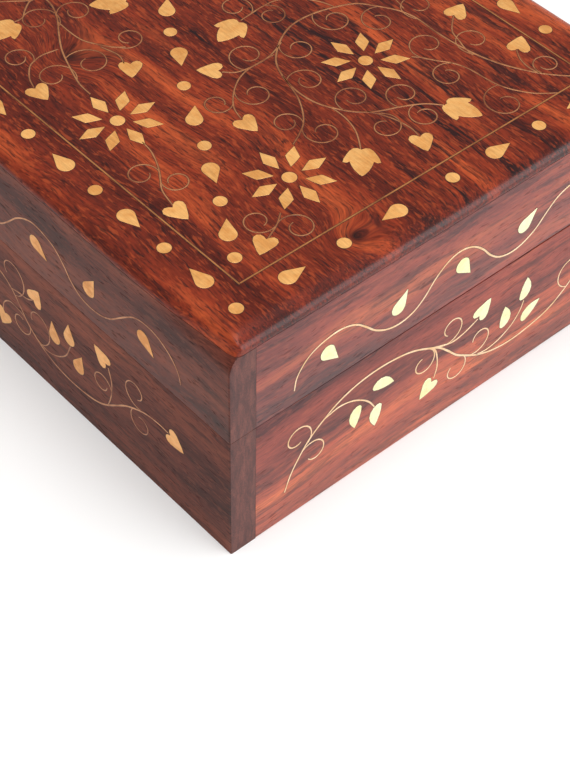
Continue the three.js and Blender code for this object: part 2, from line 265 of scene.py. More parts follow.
class Pattern:
    """Wires and plates of one piece of wood, drawn on one face."""

    def __init__(self):
        self.wires = []
        self.plates = []

    def wire(self, points, width=0.42):
        self.wires.append((smooth_path(points, 0.013), width))

    def curl(self, start, centre, way=1, turns=1.1, width=0.36):
        """A tendril that leaves start and winds in around centre, counter-clockwise when way is 1."""
        arm = Vector(start) - Vector(centre)
        first = math.atan2(arm.y, arm.x)
        path = []
        steps = round(26 * turns)
        for i in range(steps + 1):
            t = i / steps
            radius = CURL_END + (arm.length - CURL_END) * (1 - t) ** 1.7
            angle = first + way * 2 * math.pi * turns * t
            path.append(Vector(centre) + Vector((math.cos(angle), math.sin(angle))) * radius)
        self.wires.append((path, width))

    def plate(self, outline, centre, degrees=0):
        self.plates.append(turned(outline, centre, degrees))

    def drop(self, centre, degrees):
        self.plate(DROP, centre, degrees)

    def leaf(self, centre, degrees, flat_left=False):
        """A leaf with its flat side on the right of the way it points, or on the left."""
        outline = [(x, -y) for x, y in reversed(LEAF)] if flat_left else LEAF
        self.plate(outline, centre, degrees)

    def heart(self, centre, degrees):
        self.plate(HEART, centre, degrees)

    def tulip(self, centre, degrees):
        self.plate(TULIP, centre, degrees)

    def dot(self, centre, radius=0.026):
        self.plate(disc_outline(radius), centre)

    def flower(self, centre, phase):
        """Eight petals around a dot, the first of them at phase degrees."""
        reach = 0.11
        for i in range(8):
            degrees = phase + 45 * i
            angle = math.radians(degrees)
            place = (centre[0] + reach * math.cos(angle), centre[1] + reach * math.sin(angle))
            self.plate(PETAL, place, degrees)
        self.dot(centre, 0.028)


def inlay_bodies(pattern, face, sink, grow, seed):
    """The pattern as closed bodies whose tops lie sink under the face, each grown by grow metres."""
    rng = random.Random(seed)
    build = Build()
    depth = -0.6 * MM
    bevel = 0.05 * MM
    for number, (path, width) in enumerate(pattern.wires):
        count = len(path)
        level = sink + 0.006 * MM * (number % 4)
        rings = []
        for i, here in enumerate(path):
            along = (path[min(count - 1, i + 1)] - path[max(0, i - 1)]).normalized()
            side = Vector((-along.y, along.x))
            share = min(i, count - 1 - i) / (count - 1)
            taper = 0.72 + 0.28 * min(1.0, share * 8)
            waver = 1 + 0.07 * math.sin(i * 0.9 + len(rings) * 0.13 + seed) + rng.uniform(-0.03, 0.03)
            half = (width * MM / 2 * taper * waver + grow) / PITCH
            ring = []
            for across, height in ((-1, depth), (-1, -level - bevel), (-0.72, -level), (0.72, -level),
                                   (1, -level - bevel), (1, depth)):
                spot = here + side * half * across
                ring.append(face.point(spot.x, spot.y, height))
            rings.append(ring)
        build.loft(rings)
    for outline in pattern.plates:
        outer = offset_outline(outline, -grow / PITCH)
        inner = offset_outline(outer, 1.6 * bevel / PITCH)
        build.loft([
            [face.point(a, b, depth) for a, b in outer],
            [face.point(a, b, -sink - bevel) for a, b in outer],
            [face.point(a, b, -sink) for a, b in inner],
        ])
    return build


# ---------------------------------------------------------------- materials

class Tree:
    """A material's node tree, with a short way to add and link nodes."""

    def __init__(self, name):
        self.material = bpy.data.materials.new(name)
        self.material.use_nodes = True
        self.tree = self.material.node_tree
        self.shader = self.tree.nodes["Principled BSDF"]
        self.coordinates = self.add("ShaderNodeTexCoord")
        self.place = self.coordinates.outputs["Object"]

    def add(self, kind, inputs=None, **settings):
        node = self.tree.nodes.new(kind)
        for key, value in settings.items():
            setattr(node, key, value)
        for key, value in (inputs or {}).items():
            self.put(node.inputs[key], value)
        return node

    def put(self, socket, value):
        if isinstance(value, bpy.types.NodeSocket):
            self.tree.links.new(value, socket)
        else:
            socket.default_value = value

    def maths(self, operation, a, b=0.0, clamp=False):
        node = self.add("ShaderNodeMath", {0: a, 1: b}, operation=operation, use_clamp=clamp)
        return node.outputs[0]

    def vector(self, operation, a, b=(0, 0, 0)):
        return self.add("ShaderNodeVectorMath", {0: a, 1: b}, operation=operation).outputs[0]

    def noise(self, vector, scale, detail=2.0, roughness=0.5, distortion=0.0, output="Fac"):
        node = self.add("ShaderNodeTexNoise", {
            "Vector": vector, "Scale": scale, "Detail": detail, "Roughness": roughness,
            "Distortion": distortion})
        return node.outputs[output]

    def axis(self, vector, letter):
        return self.add("ShaderNodeSeparateXYZ", {0: vector}).outputs[letter]

    def span(self, value, low, high, to_low=0.0, to_high=1.0):
        node = self.add("ShaderNodeMapRange", {
            "Value": value, "From Min": low, "From Max": high, "To Min": to_low, "To Max": to_high})
        return node.outputs[0]

    def ramp(self, value, stops):
        node = self.add("ShaderNodeValToRGB", {"Fac": value})
        elements = node.color_ramp.elements
        while len(elements) < len(stops):
            elements.new(0.5)
        for element, (position, colour) in zip(elements, stops):
            element.position = position
            element.color = (*colour, 1)
        return node.outputs[0]

    def mix(self, factor, a, b, blend="MIX"):
        node = self.add("ShaderNodeMix", data_type="RGBA", blend_type=blend)
        self.put(node.inputs["Factor"], factor)
        self.put(node.inputs["A"], a)
        self.put(node.inputs["B"], b)
        return node.outputs["Result"]

    def surface(self, **inputs):
        for key, value in inputs.items():
            self.put(self.shader.inputs[key.replace("_", " ")], value)

    def bump(self, height, distance, strength=1.0):
        node = self.add("ShaderNodeBump", {"Height": height, "Distance": distance, "Strength": strength})
        self.put(self.shader.inputs["Normal"], node.outputs[0])


def rgb(red, green, blue):
    """Display values 0 to 255 as linear colour."""
    def linear(value):
        share = value / 255
        return share / 12.92 if share <= 0.04045 else ((share + 0.055) / 1.055) ** 2.4
    return tuple(linear(v) for v in (red, green, blue))


def opaque(colour):
    return (*colour, 1)


def wood(name, tones, streak, grain, shift, streaks, knots=(), gloss=0.4, coat=0.1, level=0.3, contrast=1.0,
         rise=()):
    """Oiled and varnished rosewood. grain is the axis that the fibres run along, x or y, and tones go from
    dark to light. streaks says how strong the dark streaks are: one share, or (place, share) stops across
    the grain. knots are (place, radius) pairs that the grain bends around. contrast scales the fine lines
    and pores, and rise holds (height, half tint) stops of painted light, which make a board brighter
    towards the floor and darker higher up. Places, radii and heights are in metres."""
    tree = Tree(name)
    place = tree.place
    turn = (0, 0, math.radians(90 if grain == "y" else 0))
    mapping = tree.add("ShaderNodeMapping", {
        "Vector": place, "Location": (41 * shift, 17 * shift, 29 * shift), "Rotation": turn,
        "Scale": (1 / MM, 1 / MM, 1 / MM)})
    fibre = mapping.outputs[0]
    knot_mask = None
    for centre, radius in knots:
        away = tree.add("ShaderNodeVectorMath", {0: place, 1: centre}, operation="DISTANCE").outputs["Value"]
        pull = tree.maths("MULTIPLY", tree.maths("POWER", tree.span(away, radius, 0.0), 1.7), 10.0)
        fibre = tree.vector("ADD", fibre, tree.add("ShaderNodeCombineXYZ", {"Y": pull}).outputs[0])
        core = tree.span(away, radius * 0.30, radius * 0.05)
        knot_mask = core if knot_mask is None else tree.maths("MAXIMUM", knot_mask, core)

    bend = tree.noise(fibre, 0.012, output="Color")
    bend = tree.vector("MULTIPLY", tree.vector("SUBTRACT", bend, (0.5, 0.5, 0.5)), (0, 16, 16))
    waver = tree.noise(tree.vector("MULTIPLY", fibre, (0.35, 1, 1)), 0.16, 3.0, 0.6, output="Color")
    waver = tree.vector("MULTIPLY", tree.vector("SUBTRACT", waver, (0.5, 0.5, 0.5)), (0, 1.9, 1.9))
    bent = tree.vector("ADD", tree.vector("ADD", fibre, bend), waver)

    def along(stretch):
        return tree.vector("MULTIPLY", bent, (1 / stretch, 1, 1))

    broad = tree.noise(along(9), 0.085, 4.0, 0.55)
    colour = tree.ramp(broad, list(zip((0.34, 0.45, 0.55, 0.66), tones)))
    bands = tree.noise(along(16), 0.34, 4.0, 0.62)
    share = tree.span(bands, 0.50, 0.60)
    if isinstance(streaks, (list, tuple)):
        across = tree.axis(place, "Y" if grain == "x" else "X")
        first, last = streaks[0][0], streaks[-1][0]
        stops = [((where - first) / (last - first), (value,) * 3) for where, value in streaks]
        zone = tree.ramp(tree.span(across, first, last), stops)
        zone_noise = tree.noise(along(5), 0.05, 2.0)
        zone = tree.maths("MULTIPLY", zone, tree.span(zone_noise, 0.36, 0.52), True)
        share = tree.maths("MULTIPLY", share, zone)
    else:
        share = tree.maths("MULTIPLY", share, streaks)
    colour = tree.mix(share, colour, opaque(streak))

    lines = tree.noise(along(26), 1.05, 3.0, 0.65)
    colour = tree.mix(tree.span(lines, 0.52, 0.66, 0.0, 0.62 * contrast), colour, opaque(streak))
    fibres = tree.noise(along(9), 2.3, 2.0, 0.65)
    tint = tree.ramp(fibres, [(0.28, (0.52, 0.48, 0.46)), (0.50, (1.0, 1.0, 1.0)), (0.72, (1.32, 1.26, 1.2))])
    colour = tree.mix(0.35 + 0.65 * contrast, colour, tint, "MULTIPLY")
    flecks = tree.noise(along(5), 1.15, 2.0, 0.6)
    colour = tree.mix(tree.span(flecks, 0.54, 0.64, 0.0, 0.45 * contrast), colour, opaque(tones[3]))
    # Painted light: a ramp by height multiplies the colour, brighter near the floor and darker higher up
    if rise:
        height = tree.axis(place, "Z")
        lowest, highest = rise[0][0], rise[-1][0]
        shades = [((where - lowest) / (highest - lowest), value) for where, value in rise]
        painted_light_tint = tree.vector("MULTIPLY", tree.ramp(tree.span(height, lowest, highest), shades), (2, 2, 2))
        colour = tree.mix(1.0, colour, painted_light_tint, "MULTIPLY")
    pores = tree.noise(along(6), 1.55, 1.0, 0.5, 0.3)
    pores = tree.span(pores, 0.62, 0.70)
    pore_colour = opaque(tuple(c * 0.4 for c in streak))
    colour = tree.mix(tree.maths("MULTIPLY", pores, 0.6 * contrast), colour, pore_colour)
    if knot_mask is not None:
        core_colour = opaque(tuple(c * 0.45 for c in streak))
        colour = tree.mix(tree.maths("MULTIPLY", knot_mask, 0.85), colour, core_colour)
    # Where the surface turns to face along the grain it drinks more varnish and goes dark and glossy
    facing = tree.axis(tree.coordinates.outputs["Normal"], "X" if grain == "x" else "Y")
    end_on = tree.span(tree.maths("ABSOLUTE", facing), 0.05, 0.75)
    speck = tree.vector("MULTIPLY", place, (0.5 / MM, 1.3 / MM, 1.3 / MM))
    speck = tree.noise(speck, 1.0, 3.0, 0.7)
    dark_end = tree.ramp(speck, [(0.35, (0.44, 0.28, 0.23)), (0.65, (0.66, 0.44, 0.36))])
    colour = tree.mix(end_on, colour, tree.mix(1.0, colour, dark_end, "MULTIPLY"))
    rough = tree.span(fibres, 0.2, 0.8, gloss - 0.05, gloss + 0.08)
    rough = tree.maths("ADD", tree.maths("MULTIPLY", pores, 0.2), rough)
    varnish = tree.span(end_on, 0.4, 1.0, coat, max(coat, 0.55))
    tree.surface(Base_Color=colour, Roughness=rough, Coat_Weight=varnish, Coat_Roughness=0.22,
                 Specular_IOR_Level=level)
    relief = tree.maths("SUBTRACT", tree.maths("MULTIPLY", fibres, 0.4), pores)
    tree.bump(relief, 0.05 * MM, 0.5)
    return tree.material


def end_grain(name, tones, shift):
    """Cross-cut rosewood: growth rings seen end on, finely flecked."""
    tree = Tree(name)
    place = tree.place
    mapping = tree.add("ShaderNodeMapping", {
        "Vector": place, "Location": (0, shift, shift), "Scale": (0.04 / MM, 1 / MM, 0.28 / MM)})
    point = mapping.outputs[0]
    rings = tree.noise(point, 0.55, 4.0, 0.6, 0.5)
    colour = tree.ramp(rings, list(zip((0.32, 0.5, 0.68), tones)))
    grain = tree.noise(tree.vector("MULTIPLY", point, (1, 1, 3)), 2.2, 2.0)
    tint = tree.ramp(grain, [(0.3, (0.70, 0.68, 0.68)), (0.7, (1.25, 1.2, 1.18))])
    colour = tree.mix(1.0, colour, tint, "MULTIPLY")
    tree.surface(Base_Color=colour, Roughness=tree.span(grain, 0.2, 0.8, 0.42, 0.58), Specular_IOR_Level=0.35)
    tree.bump(grain, 0.04 * MM, 0.5)
    return tree.material


def brass(name, light, dark, roughness, metallic=1.0):
    """Brass filed flush and polished by hand, with faint scratches and a little tarnish that varies from
    plate to plate."""
    tree = Tree(name)
    place = tree.place
    scratch = tree.noise(tree.vector("MULTIPLY", place, (260, 2100, 1500)), 1.0, 3.0, 0.6)
    tarnish = tree.noise(place, 420.0, 3.0, 0.6)
    batch = tree.noise(place, 95.0, 1.0)
    mixed = tree.maths("ADD", tree.maths("MULTIPLY", tarnish, 0.5), tree.maths("MULTIPLY", batch, 0.5))
    colour = tree.mix(tree.span(mixed, 0.42, 0.62), opaque(light), opaque(dark))
    fine = tree.ramp(scratch, [(0.3, (0.86, 0.85, 0.84)), (0.7, (1.07, 1.06, 1.05))])
    colour = tree.mix(1.0, colour, fine, "MULTIPLY")
    rough = tree.span(tarnish, 0.35, 0.7, roughness, roughness + 0.1)
    rough = tree.maths("ADD", tree.span(scratch, 0.3, 0.7, -0.04, 0.06), rough)
    tree.surface(Base_Color=colour, Roughness=rough, Metallic=metallic)
    tree.bump(scratch, 0.012 * MM, 0.5)
    return tree.material


def speckled(name, scale, detail, colours, rough, depth, metallic=0.0):
    """A plain material that a fine noise varies: colours and rough go from its low to its high values."""
    tree = Tree(name)
    speck = tree.noise(tree.place, scale, detail)
    tree.surface(Base_Color=tree.ramp(speck, [(0.3, colours[0]), (0.7, colours[1])]),
                 Roughness=tree.span(speck, 0.3, 0.7, *rough), Metallic=metallic)
    tree.bump(speck, depth, 0.5)
    return tree.material


def velvet(name, dark, light):
    """Velvet whose nap lies in darker and lighter patches."""
    tree = Tree(name)
    place = tree.place
    pile = tree.noise(place, 2600.0, 2.0, 0.6)
    nap = tree.noise(tree.vector("MULTIPLY", place, (1, 1.6, 1)), 38.0, 3.0, 0.55)
    colour = tree.mix(tree.span(nap, 0.35, 0.65), opaque(dark), opaque(light))
    fleck = tree.ramp(pile, [(0.3, (0.7, 0.7, 0.7)), (0.7, (1.2, 1.2, 1.2))])
    colour = tree.mix(1.0, colour, fleck, "MULTIPLY")
    tree.surface(Base_Color=colour, Roughness=tree.span(pile, 0.2, 0.8, 0.85, 1.0),
                 Sheen_Weight=0.7, Sheen_Roughness=0.4)
    tree.shader.inputs["Sheen Tint"].default_value = opaque(rgb(235, 150, 150))
    tree.bump(tree.maths("ADD", pile, tree.maths("MULTIPLY", nap, 0.6)), 0.25 * MM, 0.7)
    return tree.material


def plywood(name):
    tree = Tree(name)
    place = tree.place
    grain = tree.noise(tree.vector("MULTIPLY", place, (30, 900, 900)), 1.0, 4.0, 0.6, 0.4)
    colour = tree.ramp(grain, [(0.3, rgb(128, 92, 60)), (0.5, rgb(172, 132, 92)), (0.7, rgb(196, 158, 116))])
    tree.surface(Base_Color=colour, Roughness=tree.span(grain, 0.2, 0.8, 0.6, 0.8))
    tree.bump(grain, 0.08 * MM, 0.6)
    return tree.material


TOP_TONES = [rgb(86, 26, 13), rgb(108, 36, 18), rgb(130, 46, 22), rgb(176, 76, 37)]
TOP_STREAK = rgb(34, 14, 16)
SIDE_TONES = [rgb(70, 34, 28), rgb(96, 48, 38), rgb(112, 58, 44), rgb(134, 72, 52)]
SIDE_STREAK = rgb(56, 31, 27)
END_TONES = [rgb(98, 48, 46), rgb(136, 66, 58), rgb(160, 78, 64), rgb(186, 98, 70)]
END_STREAK = rgb(58, 36, 40)

near_knot = FACES["top"].point(0.67, 0.13, 0)
far_knot = FACES["top"].point(0.52, 1.53, 0)
TOP_STREAKS = [(LOW.y, 0.25), (LOW.y + 0.55 * PITCH, 0.35), (LOW.y + 0.95 * PITCH, 1.0),
               (LOW.y + 1.5 * PITCH, 0.85), (HIGH.y, 0.55)]
top_wood = wood("top_rosewood", TOP_TONES, TOP_STREAK, "x", 0.31, TOP_STREAKS,
                knots=((near_knot, 0.011), (far_knot, 0.014)), gloss=0.38, coat=0.1, level=0.18)
front_wood = wood("front_rosewood", SIDE_TONES, SIDE_STREAK, "x", 0.83, 0.5, coat=0, level=0.12, contrast=0.7)
back_wood = wood("back_rosewood", SIDE_TONES, SIDE_STREAK, "x", 1.47, 0.5, coat=0, level=0.12, contrast=0.7)
# Painted light on the end boards: brighter and warmer towards the floor, darker towards the top of the sides
END_PAINTED_LIGHT = [(0, (0.66, 0.64, 0.50)), (0.20 * PITCH, (0.62, 0.60, 0.50)), (0.38 * PITCH, (0.50, 0.48, 0.46)),
            (0.62 * PITCH, (0.46, 0.45, 0.46)), (PITCH, (0.42, 0.43, 0.45))]
right_wood = wood("right_rosewood", END_TONES, END_STREAK, "y", 2.13, 0.6, contrast=0.45, rise=END_PAINTED_LIGHT)
left_wood = wood("left_rosewood", END_TONES, END_STREAK, "y", 2.77, 0.6, contrast=0.45, rise=END_PAINTED_LIGHT)
cross_grain = end_grain("rosewood_end_grain", [rgb(72, 43, 42), rgb(94, 56, 51), rgb(114, 68, 60)], 0.4)
top_brass = brass("top_brass", rgb(250, 190, 114), rgb(228, 160, 86), 0.45, 0.5)
border_line = brass("border_line", rgb(206, 138, 80), rgb(158, 98, 54), 0.45, 0.7)
top_wire = brass("top_wire", rgb(206, 140, 92), rgb(164, 96, 58), 0.45, 0.7)
# Painted reflection: the brass of the ends is a paler, brighter copy of the same brass, toned as if it
# mirrored bright light
lit_end_brass = brass("lit_end_brass", rgb(252, 254, 212), rgb(246, 246, 188), 0.32)
lit_end_wire = brass("lit_end_wire", rgb(250, 220, 184), rgb(236, 196, 150), 0.34)
# Painted shade: the brass of the front and back is a darker copy than the ends', toned for the dimmer light
# it mirrors
shaded_side_brass = brass("shaded_side_brass", rgb(240, 182, 118), rgb(214, 148, 84), 0.38)
shaded_side_wire = brass("shaded_side_wire", rgb(206, 150, 110), rgb(160, 104, 76), 0.4)
hinge_brass = brass("hinge_brass", rgb(226, 186, 104), rgb(196, 150, 78), 0.32)
# Dark lac pressed around the brass
dark_filler = speckled("dark_filler", 900, 3, (rgb(38, 20, 14), rgb(74, 40, 28)), (0.45, 0.7), 0.03 * MM)
red_velvet = velvet("red_velvet", rgb(96, 10, 20), rgb(140, 22, 34))
bottom_ply = plywood("bottom_plywood")
nail_steel = speckled("nail_steel", 1200, 3, (rgb(120, 112, 104), rgb(178, 176, 172)), (0.32, 0.55),
                      0.02 * MM, 1.0)


def dress(obj, *materials):
    obj.data.materials.clear()
    for material in materials:
        obj.data.materials.append(material)


def keep(obj, body, slot, *nodes):
    """Puts a finished piece on its body in place of the named CAD nodes. slot is not used."""
    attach(obj, body)
    if nodes:
        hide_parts(*nodes)
    return obj


# ---------------------------------------------------------------- boards

def board_mesh(name, section, low_x, high_x, eases):
    """A board with its section drawn in (y, z) and carried along x. Each rule in eases is a test of an
    edge's two ends and the width that such an edge is eased by."""
    shape = bmesh.new()
    ends = [[shape.verts.new((x, y, z)) for y, z in section] for x in (low_x, high_x)]
    count = len(section)
    for i in range(count):
        j = (i + 1) % count
        shape.faces.new((ends[0][i], ends[0][j], ends[1][j], ends[1][i]))
    shape.faces.new(list(reversed(ends[0])))
    shape.faces.new(ends[1])
    bmesh.ops.recalc_face_normals(shape, faces=shape.faces)
    for test, width in eases:
        chosen = [e for e in shape.edges if test(e.verts[0].co, e.verts[1].co)]
        bmesh.ops.bevel(shape, geom=chosen, offset=width, segments=3, profile=0.5, affect="EDGES")
    mesh = bpy.data.meshes.new(name)
    shape.to_mesh(mesh)
    shape.free()
    return link(name, mesh)


def near(a, b):
    return abs(a - b) < 0.02 * MM


def both(a, b, axis, place):
    """Whether both ends of an edge are at one place on an axis, 0 to 2."""
    return near(a[axis], place) and near(b[axis], place)


def at_seam(a, b):
    return abs(a.z - BASE_TOP) < SEAM_ZONE and abs(b.z - BASE_TOP) < SEAM_ZONE


def slice_mesh(obj, axis, places):
    """Adds rows of vertices across a mesh, so that it can be shaped there."""
    shape = bmesh.new()
    shape.from_mesh(obj.data)
    normal = Vector([1 if i == axis else 0 for i in range(3)])
    for place in places:
        geometry = list(shape.verts) + list(shape.edges) + list(shape.faces)
        bmesh.ops.bisect_plane(shape, geom=geometry, plane_co=normal * place, plane_no=normal, dist=1e-7)
    shape.to_mesh(obj.data)
    shape.free()


def apply_cut(obj, cutter):
    """Cuts one mesh from another and removes the cutter."""
    modifier = obj.modifiers.new("cut", "BOOLEAN")
    modifier.operation = "DIFFERENCE"
    modifier.solver = "EXACT"
    modifier.object = cutter
    bpy.context.view_layer.update()
    evaluated = obj.evaluated_get(bpy.context.evaluated_depsgraph_get())
    mesh = bpy.data.meshes.new_from_object(evaluated)
    obj.modifiers.clear()
    old = obj.data
    obj.data = mesh
    bpy.data.meshes.remove(old)
    bpy.data.objects.remove(cutter)


def knuckle_cutter(side):
    """A round bar a little larger than a hinge's knuckles, which cuts room for them in the rims."""
    low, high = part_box(f"hinge_{side}_base_leaf")
    radius = KNUCKLE_NOTCH
    ring = []
    for i in range(28):
        angle = 2 * math.pi * i / 28
        ring.append((HINGE.y + radius * math.cos(angle), HINGE.z + radius * math.sin(angle)))
    build = Build()
    margin = 0.8 * MM
    build.loft([[Vector((x, y, z)) for y, z in ring] for x in (low.x - margin, high.x + margin)])
    return build.finish(f"cutter_{side}")


def cad_section(node, at_end):
    """The outline in (y, z) of a CAD board's end face, in order, found from its vertices at one end in x."""
    low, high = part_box(node)
    x = high.x if at_end else low.x
    found = set()
    for vertex in frame["nodes"][node].data.vertices:
        if abs(vertex.co.x - x) < 1e-6:
            found.add((round(vertex.co.y, 6), round(vertex.co.z, 6)))
    middle = Vector(((low.y + high.y) / 2, (low.z + high.z) / 2))
    return sorted(found, key=lambda p: math.atan2(p[1] - middle.y, p[0] - middle.x))


# How far the sanded corners reach: along the long sides, down from the glue joint, inwards at most, into
# the thickness of the rails, and round the upright edges. Rows are the places of extra vertices near ends
CORNER_ALONG = 34 * MM
CORNER_DOWN = 5.0 * MM
CORNER_IN = 2.4 * MM
CORNER_SKIN = 5.0 * MM
CORNER_ROUND = 3.0 * MM
LONG_ROWS = [r * MM for r in (0.7, 1.5, 3.0, 5.0, 8.8, 13.9, 19.8, 26.5, 34.0)]
SHORT_ROWS = [r * MM for r in (0.9, 2.0, 3.4, 5.2)]


def smooth_step(value):
    value = min(1.0, max(0.0, value))
    return value * value * (3 - 2 * value)


def sanded(point):
    """Where a point on the lid's outer side ends up: near the corners the rounding of the top runs on
    down into the rails, deeper along the long sides, and the upright edges are rounded with it."""
    x, y, z = point
    drop = smooth_step((z - (TOP_LOW.z - CORNER_DOWN)) / (CORNER_DOWN + 2 * MM)) ** 1.3
    if drop == 0:
        return Vector(point)
    to_end = HIGH.x - abs(x)
    to_side = HIGH.y - abs(y)
    reach = smooth_step(1 - to_end / CORNER_ALONG)
    skin = max(0.0, 1 - to_side / CORNER_SKIN)
    y -= math.copysign(CORNER_IN * reach * drop * skin, y)
    close = max(0.0, CORNER_ROUND - to_end) * max(0.0, CORNER_ROUND - to_side) / CORNER_ROUND ** 2
    pull = 0.30 * CORNER_ROUND * close * drop
    return Vector((x - math.copysign(pull, x), y - math.copysign(pull, y), z))


def sand_rail(obj):
    """Cuts extra rows into a long lid rail near its top and ends, then sands it."""
    slice_mesh(obj, 2, [TOP_LOW.z - CORNER_DOWN * i / 7 for i in range(1, 8)])
    ends = [HIGH.x - row for row in LONG_ROWS]
    slice_mesh(obj, 0, ends + [-x for x in ends])
    rows = [HIGH.y - CORNER_SKIN * i / 4 for i in range(1, 5)]
    slice_mesh(obj, 1, rows + [-y for y in rows])
    for vertex in obj.data.vertices:
        vertex.co = sanded(vertex.co)


def rebate_cutter():
    """The space that the bottom panel fills in the base boards, open below."""
    low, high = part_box("base_bottom_panel")
    gap = 0.15 * MM
    build = Build()
    ring = rectangle(low, high, gap)
    build.loft([[Vector((x, y, z)) for x, y in ring] for z in (-MM, high.z + gap)])
    return build.finish("cutter_rebate")


def lap(section, body):
    """Brings a board's seam edge towards its partner, so that the closed seam is fine in front."""
    rise = SEAM_LAP if body == "base" else -SEAM_LAP
    moved = []
    for y, z in section:
        if abs(z - BASE_TOP) < SEAM_ZONE and y < HIGH.y - WALL:
            z += rise
        moved.append((y, z))
    return moved


def sunk(section, sign):
    """Moves the outer side of a front (-1) or back (+1) board in by the wood's sink."""
    outer = HIGH.y if sign > 0 else LOW.y
    return [(y - sign * WOOD_SINK if abs(y - outer) < 1e-5 else y, z) for y, z in section]


def long_board(name, node, body, slot, material):
    """A front or back board. It runs the whole length, so its end grain shows at both ends."""
    low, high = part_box(node)
    sign = 1 if high.y > 0 else -1
    outer = (HIGH.y if sign > 0 else LOW.y) - sign * WOOD_SINK
    section = lap(sunk(cad_section(node, True), sign), body)
    bottom = min(z for y, z in section)

    def upright_corner(a, b):
        return near(a.x, b.x) and both(a, b, 1, outer)

    def foot(a, b):
        return body == "base" and both(a, b, 2, bottom) and both(a, b, 1, outer)

    def seam(a, b):
        return at_seam(a, b) and both(a, b, 1, outer)

    def inner_rim(a, b):
        return at_seam(a, b) and both(a, b, 1, sign * (HIGH.y - WALL))

    obj = board_mesh(name, section, low.x + WOOD_SINK, high.x - WOOD_SINK,
                     [(upright_corner, EASE), (foot, EASE), (inner_rim, RIM_EASE), (seam, SEAM_EASE)])
    if sign > 0:
        for side in ("left", "right"):
            apply_cut(obj, knuckle_cutter(side))
    if body == "base":
        apply_cut(obj, rebate_cutter())
    else:
        sand_rail(obj)
    smooth_by_angle(obj)
    dress(obj, material, cross_grain)
    for polygon in obj.data.polygons:
        at_end = HIGH.x - abs(polygon.center.x) < EASE
        if abs(polygon.normal.x) > 0.75 and at_end:
            polygon.material_index = 1
    return keep(obj, body, slot, node)


def end_board(name, node, body, material):
    """A left or right board, which fits between the long boards."""
    low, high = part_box(node)
    right = high.x > 0
    x_low = low.x if right else low.x + WOOD_SINK
    x_high = high.x - WOOD_SINK if right else high.x
    outer = x_high if right else x_low
    section = lap(cad_section(node, right), body)
    section = [(y + math.copysign(JOINT_CLOSE, y) if HIGH.y - abs(y) < WALL + 0.2 * MM else y, z)
               for y, z in section]
    bottom = min(z for y, z in section)

    def foot(a, b):
        return body == "base" and both(a, b, 2, bottom) and both(a, b, 0, outer)

    def seam(a, b):
        return at_seam(a, b) and both(a, b, 0, outer)

    def inner_rim(a, b):
        return at_seam(a, b) and near(a.x, b.x) and not near(a.x, outer)

    obj = board_mesh(name, section, x_low, x_high, [(foot, EASE), (inner_rim, RIM_EASE), (seam, SEAM_EASE)])
    if body == "base":
        apply_cut(obj, rebate_cutter())
    smooth_by_angle(obj)
    dress(obj, material)
    return keep(obj, body, "end_wood", node)


for body, part in (("base", "board"), ("lid", "rail")):
    for side, material in (("front", front_wood), ("back", back_wood)):
        long_board(f"{side}_{body}_{part}", f"{body}_{side}_{part}", body, "side_wood", material)
    for side, material in (("left", left_wood), ("right", right_wood)):
        end_board(f"{side}_{body}_{part}", f"{body}_{side}_{part}", body, material)


# ---------------------------------------------------------------- top panel

# How far the rounding runs in from the long sides and from the ends
RUN_LONG = 8.0 * MM
RUN_END = 6.8 * MM


def side_places(reach, rows):
    """Places along a side from one end to the other, closer together near both ends."""
    return [reach - row for row in rows] + [row - reach for row in reversed(rows)]


def panel_ring(share, z):
    """The panel's outline at height z, drawn in from its sides by a share of its roundings."""
    half_x = TOP_HIGH.x - WOOD_SINK - RUN_END * share
    half_y = TOP_HIGH.y - WOOD_SINK - RUN_LONG * share
    radius = (0.45 + 3.2 * share) * MM
    ring = []
    for number, (sx, sy) in enumerate(((1, 1), (-1, 1), (-1, -1), (1, -1))):
        for i in range(7):
            angle = math.radians(90 * number + 15 * i)
            ring.append(Vector((sx * (half_x - radius) + radius * math.cos(angle),
                                sy * (half_y - radius) + radius * math.sin(angle), z)))
        if number % 2 == 0:
            places = side_places(half_x - radius, LONG_ROWS)
            ring.extend(Vector((sx * place, sy * half_y, z)) for place in places)
        else:
            places = side_places(half_y - radius, SHORT_ROWS)
            ring.extend(Vector((sx * half_x, sy * place, z)) for place in places)
    return ring


def top_panel():
    build = Build()
    foot = 0.3 * MM
    rise = TOP_HIGH.z - WOOD_SINK - TOP_LOW.z - foot
    rings = [panel_ring(0.012, TOP_LOW.z)]
    rings += [panel_ring(0, TOP_LOW.z + height) for height in (foot * 0.3, foot)]
    steps = 16
    for i in range(1, steps + 1):
        angle = math.radians(90 * i / steps)
        rings.append(panel_ring(1 - math.cos(angle), TOP_LOW.z + foot + rise * math.sin(angle)))
    build.loft([[sanded(p) for p in ring] for ring in rings])
    obj = build.finish("top_panel", smooth=True)
    dress(obj, top_wood)
    return keep(obj, "lid", "top_wood", "lid_top_panel")


top_panel()


# ---------------------------------------------------------------- inlay pattern of the lid's top

def across_centre(points):
    """The same points turned half a turn about the middle of the top."""
    return [(ACROSS - a, ALONG - b) for a, b in points]


